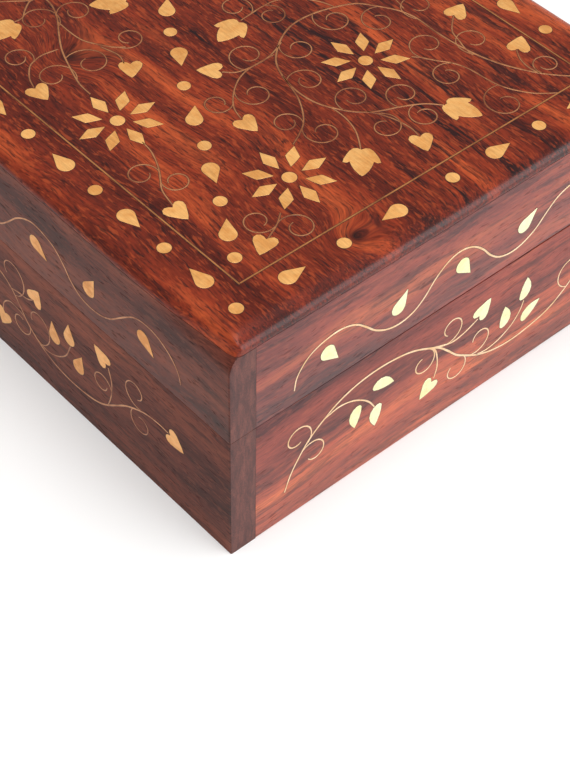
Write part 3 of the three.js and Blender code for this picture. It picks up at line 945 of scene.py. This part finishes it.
def top_pattern():
    p = Pattern()
    front, back = 0.1425, ACROSS - 0.1425
    end = 0.131
    # Drops between the border dots point to and fro by turns
    for i, b in enumerate((0.318, 0.690, 1.075, 1.460, 1.815, 2.165, 2.525)):
        way = 90 if i % 2 == 0 else -90
        p.drop((front, b), way)
        p.drop((back, b), way)
    for i, a in enumerate((0.387, 0.845, 1.357, 1.760)):
        way = 0 if i % 2 == 0 else 180
        p.drop((a, end), way)
        p.drop((a, ALONG - end), way)
    # Row of dots and drops that parts the two halves of the drawing
    dots = [(0.291, 0.316), (0.433, 0.561), (0.577, 0.820), (0.732, 1.124)]
    for spot in dots + [(0.894, 1.403), (1.10, 1.62)] + across_centre(dots):
        p.dot(spot)
    drops = [((0.360, 0.435), 54), ((0.505, 0.690), -114), ((0.655, 0.970), 49), ((0.827, 1.265), -122),
             ((0.980, 1.530), 50)]
    for spot, way in drops:
        p.drop(spot, way)
    for spot, way in drops[:3]:
        p.drop(across_centre([spot])[0], way + 180)
    p.drop((1.25, 1.668), -160)
    # Flowers
    for spot, phase in (((0.427, 1.125), -2), ((0.695, 0.500), -2), ((1.338, 0.805), 9)):
        p.flower(spot, phase)
        p.flower(across_centre([spot])[0], phase)
    # Hearts at the ends of stems
    hearts = [((0.290, 0.613), -87), ((0.770, 0.810), -88), ((0.405, 0.300), 213),
              ((1.180, 0.335), -114), ((1.810, 0.800), 20), ((1.845, 0.505), 35)]
    for spot, way in hearts:
        p.heart(spot, way)
        p.heart(across_centre([spot])[0], way + 180)
    p.heart((0.862, 1.130), 138)
    p.heart((0.309, 1.430), -92)
    p.heart((0.645, 1.325), -123)
    # Tulips
    for spot, way in (((0.945, 0.400), 228), ((1.415, 0.375), -68)):
        p.tulip(spot, way)
        p.tulip(across_centre([spot])[0], way + 180)
    p.tulip((1.070, 1.265), 196)
    p.tulip((0.830, 1.690), 150)
    p.tulip((0.420, 1.810), 190)

    stems = [
        # From the flowers to the hearts near them
        [(0.422, 0.976), (0.413, 0.913), (0.383, 0.839), (0.348, 0.783), (0.315, 0.730), (0.296, 0.650)],
        [(0.552, 0.383), (0.509, 0.350), (0.470, 0.330), (0.430, 0.312)],
        [(0.819, 0.622), (0.870, 0.648), (0.922, 0.683), (0.965, 0.735), (1.0, 0.796), (1.019, 0.848),
         (1.044, 0.935)],
        [(0.770, 0.845), (0.787, 0.904), (0.817, 0.948), (0.861, 0.991), (0.913, 1.026), (0.965, 1.044),
         (1.026, 1.050), (1.10, 1.050)],
        [(0.889, 1.096), (0.930, 1.060), (1.0, 1.048), (1.060, 1.050), (1.110, 1.062), (1.170, 1.087)],
        # Branches of the main scroll
        [(1.057, 0.691), (1.061, 0.648), (1.057, 0.596), (1.039, 0.535), (1.009, 0.483), (0.985, 0.449)],
        [(1.140, 0.590), (1.161, 0.557), (1.183, 0.509), (1.196, 0.457), (1.200, 0.413), (1.193, 0.370)],
        [(1.665, 0.570), (1.672, 0.620), (1.687, 0.665), (1.704, 0.717), (1.735, 0.752), (1.777, 0.787)],
        [(1.778, 0.335), (1.772, 0.387), (1.783, 0.439), (1.815, 0.492)],
        [(1.484, 0.711), (1.509, 0.683), (1.539, 0.635), (1.574, 0.587), (1.596, 0.526), (1.603, 0.457),
         (1.613, 0.387), (1.639, 0.326), (1.683, 0.265), (1.748, 0.213)],
    ]
    for stem in stems:
        p.wire(stem)
        p.wire(across_centre(stem))
    scroll = [(1.904, 0.213), (1.848, 0.257), (1.787, 0.326), (1.743, 0.396), (1.709, 0.465), (1.683, 0.543),
              (1.670, 0.613), (1.661, 0.691), (1.658, 0.770), (1.661, 0.839), (1.658, 0.891), (1.639, 0.952),
              (1.596, 1.022), (1.548, 1.083), (1.471, 1.119), (1.376, 1.143), (1.281, 1.143), (1.198, 1.112),
              (1.122, 1.057), (1.074, 1.004), (1.044, 0.935), (1.029, 0.865), (1.026, 0.804), (1.035, 0.743),
              (1.061, 0.683), (1.109, 0.613), (1.170, 0.565), (1.248, 0.530), (1.300, 0.504), (1.343, 0.474),
              (1.382, 0.430)]
    p.wire(scroll, 0.52)
    corner_piece = scroll[:10]
    middle_piece = scroll[19:]
    p.wire(across_centre(corner_piece) + [(0.490, 1.985), (0.545, 1.945), (0.609, 1.896)], 0.52)
    p.wire([(1.004, 1.778)] + across_centre(middle_piece), 0.52)
    p.wire([(1.665, 0.943), (1.678, 0.996), (1.688, 1.080), (1.680, 1.180), (1.652, 1.300), (1.655, 1.400),
            (1.683, 1.531)], 0.48)
    p.wire([(0.443, 1.304), (0.448, 1.374), (0.474, 1.461), (0.517, 1.574), (0.570, 1.665), (0.613, 1.730),
            (0.643, 1.791), (0.657, 1.843), (0.652, 1.880), (0.609, 1.896), (0.561, 1.865), (0.522, 1.830),
            (0.483, 1.828)], 0.48)
    p.wire([(0.309, 1.466), (0.330, 1.522), (0.370, 1.574), (0.404, 1.591), (0.448, 1.600), (0.510, 1.590)])
    p.wire([(0.609, 1.720), (0.606, 1.640), (0.613, 1.574), (0.639, 1.522), (0.674, 1.470), (0.710, 1.440)])
    p.wire([(1.140, 1.287), (1.200, 1.294), (1.260, 1.300), (1.330, 1.295), (1.400, 1.250), (1.450, 1.180),
            (1.471, 1.119)])
    p.wire([(0.645, 1.365), (0.660, 1.420), (0.640, 1.500)])
    curls = [
        ((0.348, 0.783), (0.309, 0.842), 1), ((0.348, 0.783), (0.387, 0.739), 1),
        ((0.509, 0.350), (0.465, 0.404), -1), ((0.509, 0.350), (0.552, 0.287), -1),
        ((0.922, 0.683), (0.878, 0.726), 1), ((0.922, 0.683), (0.952, 0.604), 1),
        ((1.031, 0.900), (1.096, 0.855), -1), ((1.085, 0.645), (1.161, 0.674), -1),
        ((1.248, 0.530), (1.313, 0.574), -1), ((1.300, 0.504), (1.291, 0.435), 1),
        ((1.161, 0.557), (1.133, 0.483), -1), ((0.817, 0.948), (0.757, 0.971), -1),
        ((0.861, 0.991), (0.904, 0.922), 1), ((0.965, 1.044), (1.026, 1.109), -1),
        ((1.160, 1.087), (1.200, 1.020), 1), ((1.376, 1.143), (1.420, 1.065), 1),
        ((1.600, 1.015), (1.543, 0.948), 1), ((1.661, 0.860), (1.722, 0.922), -1),
        ((1.683, 0.560), (1.735, 0.635), -1), ((1.787, 0.326), (1.839, 0.357), -1),
        ((1.530, 0.650), (1.583, 0.726), -1), ((1.574, 0.587), (1.513, 0.543), 1),
        ((1.613, 0.387), (1.565, 0.296), 1),
    ]
    for start, centre, way in curls:
        p.curl(start, centre, way)
    for start, centre, way in curls[:6] + curls[8:11] + curls[18:]:
        begin, middle = across_centre([start, centre])
        p.curl(begin, middle, way)
    for start, centre, way in (((0.500, 1.530), (0.552, 1.448), -1), ((0.455, 1.400), (0.400, 1.470), 1),
                               ((0.400, 1.590), (0.361, 1.643), 1), ((0.600, 1.700), (0.552, 1.783), 1),
                               ((0.630, 1.760), (0.700, 1.730), -1), ((0.690, 1.452), (0.752, 1.478), 1),
                               ((1.200, 1.294), (1.174, 1.365), 1), ((1.270, 1.300), (1.250, 1.236), -1),
                               ((1.690, 1.100), (1.745, 1.160), 1), ((1.660, 1.270), (1.600, 1.220), -1)):
        p.curl(start, centre, way)
    return p


# ---------------------------------------------------------------- inlay patterns of the sides

def mirrored_along(points, middle):
    return [(2 * middle - a, b) for a, b in points]


def both_halves(half, crown, middle):
    """A curve drawn up to the middle, its point there at height crown, and its mirror image."""
    return half + [(middle, crown)] + mirrored_along(reversed(half), middle)


def end_lid_pattern():
    """The wave along a short side of the lid, alike about its middle."""
    p = Pattern()
    half = [(0.287, 0.668), (0.300, 0.731), (0.350, 0.794), (0.420, 0.823), (0.497, 0.829), (0.563, 0.806),
            (0.613, 0.763), (0.663, 0.712), (0.725, 0.677), (0.788, 0.667), (0.850, 0.684), (0.900, 0.725),
            (0.945, 0.781), (1.0, 0.826)]
    p.wire(both_halves(half, 0.843, ACROSS / 2), 0.6)
    for a, b, way in ((0.452, 0.737, -49), (0.781, 0.773, 60), (1.095, 0.744, -55), (1.413, 0.781, 42),
                      (1.690, 0.740, -50)):
        p.drop((a, b), way)
    return p


def end_base_pattern():
    """The scroll along a short side of the base."""
    p = Pattern()
    p.wire([(0.252, 0.152), (0.278, 0.225), (0.313, 0.288), (0.363, 0.356), (0.431, 0.413), (0.506, 0.459),
            (0.600, 0.488), (0.700, 0.496), (0.800, 0.485), (0.875, 0.463), (0.938, 0.431), (1.0, 0.394),
            (1.050, 0.344), (1.100, 0.288), (1.150, 0.250), (1.213, 0.210), (1.300, 0.175), (1.400, 0.160),
            (1.500, 0.169), (1.600, 0.194), (1.670, 0.236), (1.740, 0.300), (1.790, 0.370), (1.825, 0.440),
            (1.846, 0.500)], 0.66)
    p.wire([(0.431, 0.413), (0.500, 0.428), (0.563, 0.415), (0.619, 0.381), (0.656, 0.344),
            (0.683, 0.300)], 0.55)
    p.wire([(0.938, 0.431), (0.978, 0.400), (0.996, 0.345), (1.0, 0.288), (0.988, 0.238)], 0.52)
    p.wire([(0.960, 0.420), (1.013, 0.395), (1.075, 0.375), (1.138, 0.385), (1.200, 0.412)], 0.56)
    p.wire([(1.213, 0.210), (1.275, 0.200), (1.338, 0.213), (1.400, 0.250), (1.438, 0.300),
            (1.454, 0.345)], 0.52)
    for start, centre, way, turns in (
            ((0.360, 0.345), (0.305, 0.400), 1, 0.98), ((0.335, 0.318), (0.390, 0.270), -1, 0.80),
            ((0.945, 0.425), (0.922, 0.358), -1, 0.92), ((1.000, 0.400), (1.058, 0.455), 1, 1.05),
            ((1.155, 0.246), (1.219, 0.298), 1, 0.90), ((1.135, 0.265), (1.098, 0.206), -1, 0.80),
            ((1.700, 0.262), (1.715, 0.355), -1, 0.85), ((1.740, 0.300), (1.800, 0.255), 1, 0.95)):
        p.curl(start, centre, way, turns, 0.46)
    for a, b, way, flat_left in (
            (0.594, 0.313, -97, True), (0.697, 0.250, -97, True), (0.719, 0.394, -20, False),
            (1.350, 0.319, 90, True), (1.450, 0.406, 82, True), (1.498, 0.263, 35, False)):
        p.leaf((a, b), way, flat_left)
    p.heart((0.957, 0.203), 226)
    p.heart((1.226, 0.445), 48)
    return p


def long_lid_pattern():
    """The wave along a long side of the lid, alike about its middle."""
    p = Pattern()
    half = [(0.259, 0.686), (0.273, 0.738), (0.313, 0.788), (0.375, 0.825), (0.438, 0.835), (0.500, 0.823),
            (0.550, 0.788), (0.594, 0.750), (0.644, 0.706), (0.700, 0.679), (0.763, 0.671), (0.825, 0.684),
            (0.875, 0.723), (0.913, 0.775), (0.969, 0.825), (1.063, 0.850), (1.125, 0.838), (1.188, 0.800),
            (1.244, 0.744), (1.300, 0.696), (1.360, 0.674)]
    middle = ALONG / 2
    p.wire(both_halves(half, 0.668, middle), 0.52)
    drops = ((0.444, 0.740, 225), (0.756, 0.778, 118), (1.060, 0.744, 215))
    for a, b, way in drops:
        p.drop((a, b), way)
        p.drop((2 * middle - a, b), 180 - way)
    p.drop((middle, 0.765), 90)
    return p


def long_base_pattern():
    """The scroll along a long side of the base, alike about its middle."""
    p = Pattern()
    middle = ALONG / 2
    half = [(0.340, 0.366), (0.400, 0.368), (0.463, 0.359), (0.519, 0.338), (0.588, 0.300), (0.650, 0.250),
            (0.713, 0.200), (0.775, 0.169), (0.850, 0.153), (0.938, 0.148), (1.025, 0.160), (1.100, 0.188),
            (1.163, 0.231), (1.200, 0.269), (1.238, 0.325), (1.280, 0.378), (1.340, 0.420)]
    p.wire(both_halves(half, 0.438, middle), 0.6)
    stems = ([(0.700, 0.212), (0.685, 0.250), (0.672, 0.300), (0.668, 0.360), (0.682, 0.425)],
             [(1.140, 0.215), (1.080, 0.198), (1.010, 0.222), (0.950, 0.275), (0.915, 0.350)],
             [(1.280, 0.378), (1.235, 0.390), (1.180, 0.398), (1.140, 0.420)],
             [(1.200, 0.269), (1.236, 0.285), (1.300, 0.290), (1.345, 0.255), (1.360, 0.200)])
    curls = (((0.500, 0.350), (0.523, 0.425), 1, 1.0), ((0.545, 0.325), (0.500, 0.275), -1, 0.95),
             ((0.672, 0.300), (0.731, 0.306), -1, 1.0), ((1.120, 0.200), (1.130, 0.313), -1, 0.8),
             ((1.180, 0.248), (1.240, 0.225), 1, 0.9), ((1.260, 0.355), (1.275, 0.470), -1, 0.85))
    drops = ((0.866, 0.294, 110), (0.919, 0.410, 92), (1.019, 0.344, 83))
    hearts = ((0.304, 0.350, 205), (0.720, 0.455, 39), (1.120, 0.450, 118))
    for stem in stems:
        p.wire(stem, 0.44)
        p.wire(mirrored_along(stem, middle), 0.44)
    for start, centre, way, turns in curls:
        p.curl(start, centre, way, turns, 0.38)
        begin, around = mirrored_along([start, centre], middle)
        p.curl(begin, around, -way, turns, 0.38)
    for a, b, way in drops:
        p.drop((a, b), way)
        p.drop((2 * middle - a, b), 180 - way)
    for a, b, way in hearts:
        p.heart((a, b), way)
        p.heart((2 * middle - a, b), 180 - way)
    p.heart((1.360, 0.165), -70)
    p.heart((2 * middle - 1.360, 0.165), -110)
    return p


def split_pattern(pattern):
    """The wires and the plates of a pattern as two patterns."""
    wires = Pattern()
    wires.wires = pattern.wires
    plates = Pattern()
    plates.plates = pattern.plates
    return {"wire": wires, "plates": plates}


def lay_inlay(name, face, pattern, body, plate_brass, wire_brass, seed):
    """Builds a pattern's wires, its plates and the filler around both as three pieces."""
    for kind, part in split_pattern(pattern).items():
        obj = inlay_bodies(part, face, 0.0, 0.0, seed).finish(f"{name}_brass_{kind}")
        dress(obj, wire_brass if kind == "wire" else plate_brass)
        keep(obj, body, "brass_inlay")
    edge = inlay_bodies(pattern, face, FILLER_SINK, 0.13 * MM, seed).finish(f"{name}_filler")
    dress(edge, dark_filler)
    keep(edge, body, "brass_inlay")


lay_inlay("top", FACES["top"], top_pattern(), "lid", top_brass, top_wire, 1)
for number, name in enumerate(("right", "left")):
    lay_inlay(f"{name}_lid", FACES[name], end_lid_pattern(), "lid", lit_end_brass, lit_end_wire, 11 + number)
    lay_inlay(f"{name}_base", FACES[name], end_base_pattern(), "base", lit_end_brass, lit_end_wire, 21 + number)
for number, name in enumerate(("front", "back")):
    lay_inlay(f"{name}_lid", FACES[name], long_lid_pattern(), "lid", shaded_side_brass, shaded_side_wire, 31 + number)
    lay_inlay(f"{name}_base", FACES[name], long_base_pattern(), "base", shaded_side_brass, shaded_side_wire, 41 + number)


def border_filler():
    """Dark filler around the CAD strips and dots of the border."""
    build = Build()
    grow = 0.12 * MM
    for node in frame["nodes"]:
        if not node.startswith("border_"):
            continue
        low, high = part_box(node)
        if "dot" in node:
            centre = (low + high) / 2
            radius = (high.x - low.x) / 2 + grow
            ring = [(centre.x + x, centre.y + y) for x, y in disc_outline(radius, 32)]
        else:
            ring = rectangle(low, high, grow)
        top = HIGH.z - FILLER_SINK
        build.loft([[Vector((x, y, z)) for x, y in ring] for z in (top - 0.5 * MM, top)])
    obj = build.finish("border_filler")
    dress(obj, dark_filler)
    keep(obj, "lid", "brass_inlay")


border_filler()


# ---------------------------------------------------------------- linings

def lining(name, node, body):
    """A velvet-covered card with rounded edges."""
    low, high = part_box(node)
    build = Build()
    radius = 0.6 * MM
    height = high.z - low.z
    rings = []
    for i in range(9):
        angle = math.radians(-90 + 180 * i / 8)
        inset = radius * (1 - math.cos(angle))
        z = (low.z + high.z) / 2 + height / 2 * math.sin(angle)
        ring = []
        for sx, sy in ((1, 1), (-1, 1), (-1, -1), (1, -1)):
            corner = Vector((high.x if sx > 0 else low.x, high.y if sy > 0 else low.y))
            ring.append(Vector((corner.x - sx * inset, corner.y - sy * inset, z)))
        rings.append(ring)
    build.loft(rings)
    obj = build.finish(name, smooth=True)
    dress(obj, red_velvet)
    return keep(obj, body, "lining", node)


lining("floor_velvet", "floor_lining", "base")
lining("lid_velvet", "lid_lining", "lid")


# ---------------------------------------------------------------- CAD pieces that stay as they are

for node, obj in frame["nodes"].items():
    if node.startswith("hinge_") or "screw" in node:
        dress(obj, hinge_brass)
    elif node.startswith("border_strip"):
        dress(obj, border_line)
    elif node.startswith("border_"):
        dress(obj, top_brass)
    elif node.startswith("bottom_nail"):
        dress(obj, nail_steel)
    elif node == "base_bottom_panel":
        dress(obj, bottom_ply)


# ---------------------------------------------------------------- stage, light and camera

def stage_floor():
    """A wide sheet of plain pale paper."""
    tree = Tree("floor_paper")
    tone = tree.noise(tree.place, 3.0, 2.0)
    colour = tree.ramp(tone, [(0.3, rgb(248, 248, 247)), (0.7, rgb(251, 251, 250))])
    tree.surface(Base_Color=colour, Roughness=0.9)
    corner = Vector((6, 6))
    mesh = bpy.data.meshes.new("floor")
    mesh.from_pydata([(x, y, 0) for x, y in rectangle(-corner, corner, 0)], [], [(0, 1, 2, 3)])
    floor = link("floor", mesh)
    dress(floor, tree.material)


def area_light(name, place, target, size, watts):
    data = bpy.data.lights.new(name, "AREA")
    data.shape = "RECTANGLE"
    data.size, data.size_y = size
    data.energy = watts
    light = link(name, data)
    light.location = place
    light.rotation_euler = (Vector(target) - Vector(place)).to_track_quat("-Z", "Y").to_euler()


def world_light(strength):
    world = bpy.data.worlds.new("studio")
    world.use_nodes = True
    background = world.node_tree.nodes["Background"]
    background.inputs["Color"].default_value = (1, 1, 1, 1)
    background.inputs["Strength"].default_value = strength
    bpy.context.scene.world = world


def camera():
    """A camera above the box's near corner. Its place is measured from that corner's foot."""
    data = bpy.data.cameras.new("camera")
    data.lens = 93.17
    data.sensor_width = 36
    data.shift_x = -0.0078
    data.shift_y = 0.0008
    data.clip_start = 0.01
    eye = link("camera", data)
    right = Vector((0.66022, 0.75090, 0.01618))
    up = Vector((-0.56007, 0.47785, 0.67675))
    forward = Vector((-0.50044, 0.45586, -0.73604))
    turn = Matrix((right, up, -forward)).transposed()
    foot = Vector((HIGH.x, LOW.y, 0))
    from_foot = Vector((0.23669, -0.19629, 0.40121))
    eye.matrix_world = Matrix.Translation(foot + from_foot) @ turn.to_4x4()
    bpy.context.scene.camera = eye


def plain_view():
    """Colours shown as they are, with no film-like curve, as in a catalogue picture."""
    view = bpy.context.scene.view_settings
    view.view_transform = "Standard"
    view.look = "None"
    view.exposure = 0
    view.gamma = 1


stage_floor()
world_light(0.42)
area_light("key", (0.35, -0.15, 1.25), (0, 0, 0.03), (1.1, 1.1), 15)
area_light("right_wall", (1.05, 0.55, 0.36), (0.1, 0, 0.05), (1.1, 0.7), 6)
camera()
plain_view()
